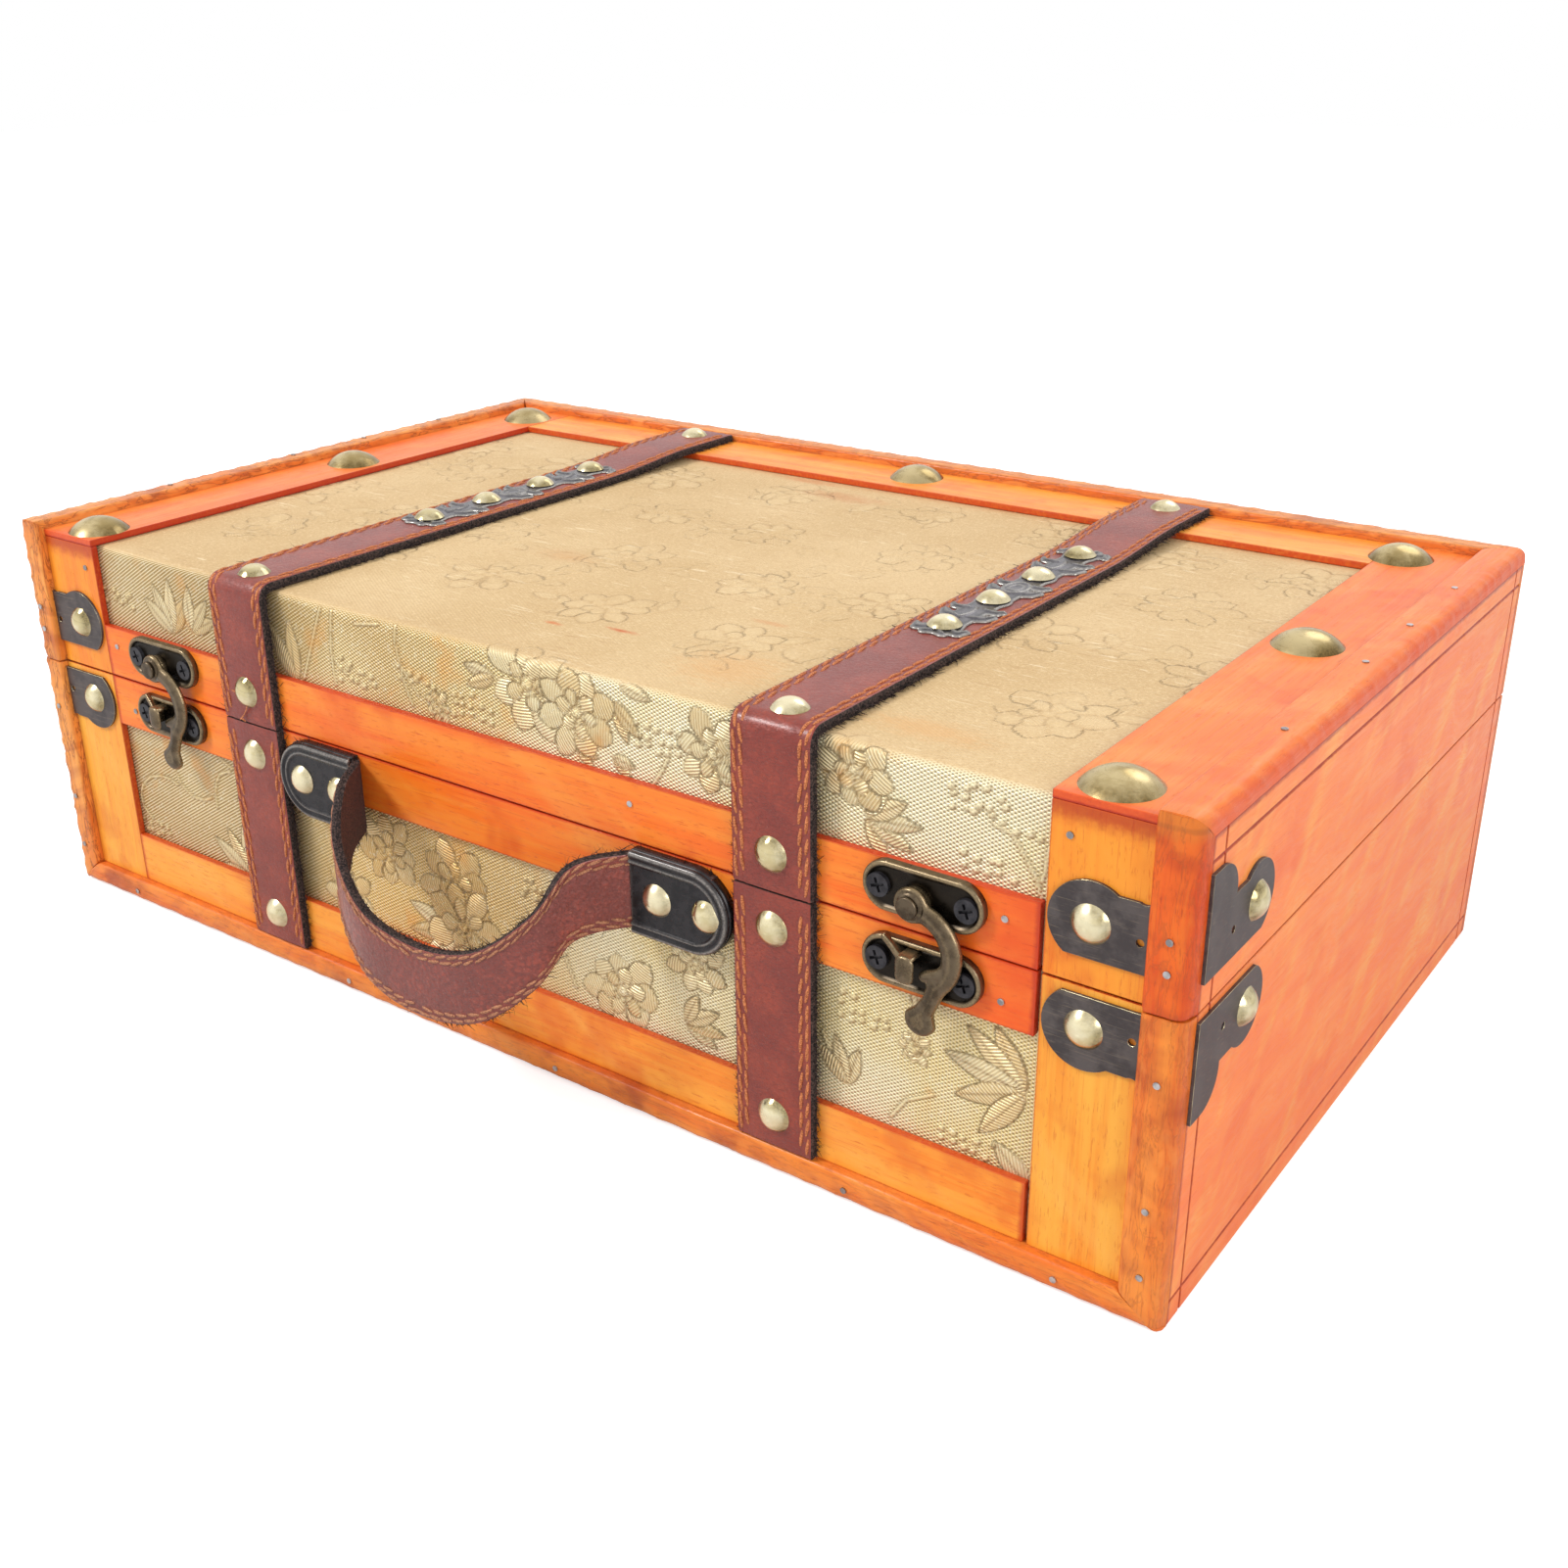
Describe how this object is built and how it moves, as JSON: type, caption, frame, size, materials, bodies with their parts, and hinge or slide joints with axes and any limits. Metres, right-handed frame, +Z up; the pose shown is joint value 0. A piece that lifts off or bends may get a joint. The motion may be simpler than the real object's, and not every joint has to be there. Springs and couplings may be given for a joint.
{
  "type": "wooden suitcase trunk",
  "caption": "Small vintage-style wooden trunk like a suitcase, with gold brocade cloth, orange wood trim, leather straps and swing hook latches.",
  "frame": {"origin": "centre of the underside of the closed case, below the middle of its 380 x 218 mm footprint", "axes": "+X to the right along the front, +Y from the front to the hinged rear, +Z up"},
  "size_m": [0.3864, 0.2514, 0.1234],
  "materials": {
    "orange_wood": "orange stained wood, satin",
    "post_wood": "yellow-orange stained wood, satin",
    "edge_wood": "browner orange stained wood, satin",
    "gold_cloth": "gold brocade with a woven floral pattern",
    "strap_leather": "brown stitched leather with a soft sheen",
    "pale_brass": "polished pale brass",
    "aged_brass": "brushed greenish aged brass",
    "gunmetal": "dark lacquered metal, rubbed at its edges",
    "pewter": "dark embossed metal",
    "bronze": "antique bronze, rubbed bright at its edges",
    "steel": "plain steel"
  },
  "bodies": {
    "base": {"base_floor": "orange_wood", "base_end_left": "orange_wood", "base_end_right": "orange_wood", "base_front_board": "orange_wood", "base_rear_board": "orange_wood", "base_front_cloth": "gold_cloth", "base_posts": "post_wood", "base_top_rail": "orange_wood", "base_bottom_rail": "orange_wood", "base_foot_moulding": "edge_wood", "base_front_mouldings": "edge_wood", "base_rear_mouldings": "edge_wood", "base_strap_left": "strap_leather", "base_strap_right": "strap_leather", "base_strap_studs": "pale_brass", "base_corner_leaves": "gunmetal", "base_corner_studs": "pale_brass", "handle_plate_left": "gunmetal", "handle_plate_right": "gunmetal", "handle_studs": "pale_brass", "handle_ends": "strap_leather", "catch_plates": "bronze", "catch_screws": "gunmetal", "hinge_base_leaves": "aged_brass", "hinge_base_screws": "steel", "hinge_pins": "steel", "base_brads": "steel"},
    "lid": {"lid_top_board": "orange_wood", "lid_end_left": "orange_wood", "lid_end_right": "orange_wood", "lid_front_board": "orange_wood", "lid_rear_board": "orange_wood", "lid_cloth": "gold_cloth", "lid_posts": "post_wood", "lid_rail": "orange_wood", "lid_strip_left": "orange_wood", "lid_strip_right": "orange_wood", "lid_strip_rear": "orange_wood", "lid_moulding_left": "edge_wood", "lid_moulding_right": "edge_wood", "lid_moulding_rear": "edge_wood", "lid_front_mouldings": "edge_wood", "lid_rear_mouldings": "edge_wood", "lid_strap_left": "strap_leather", "lid_strap_right": "strap_leather", "strap_plate_left": "pewter", "strap_plate_right": "pewter", "lid_strap_studs": "pale_brass", "lid_domes": "aged_brass", "lid_corner_leaves": "gunmetal", "lid_corner_studs": "pale_brass", "latch_plates": "bronze", "latch_screws": "gunmetal", "latch_rivets": "bronze", "hinge_lid_leaves": "aged_brass", "hinge_lid_screws": "steel", "lid_brads": "steel"},
    "handle": {"handle_grip": "strap_leather"},
    "hook_left": {"hook_left": "bronze"},
    "hook_right": {"hook_right": "bronze"}
  },
  "joints": [
    {"name": "lid_open", "type": "hinge", "parent": "base", "child": "lid", "pos_m": [0, 0.1093, 0.077], "axis": [-1, 0, 0], "range_deg": [0, 105]},
    {"name": "handle_lift", "type": "hinge", "parent": "base", "child": "handle", "pos_m": [0, -0.1235, 0.06435], "axis": [-1, 0, 0], "range_deg": [0, 60]},
    {"name": "hook_left_swing", "type": "hinge", "parent": "lid", "child": "hook_left", "pos_m": [-0.1306, -0.1129, 0.0853], "axis": [0, -1, 0], "range_deg": [-12, 100]},
    {"name": "hook_right_swing", "type": "hinge", "parent": "lid", "child": "hook_right", "pos_m": [0.1274, -0.1129, 0.0853], "axis": [0, -1, 0], "range_deg": [-12, 100]}
  ]
}
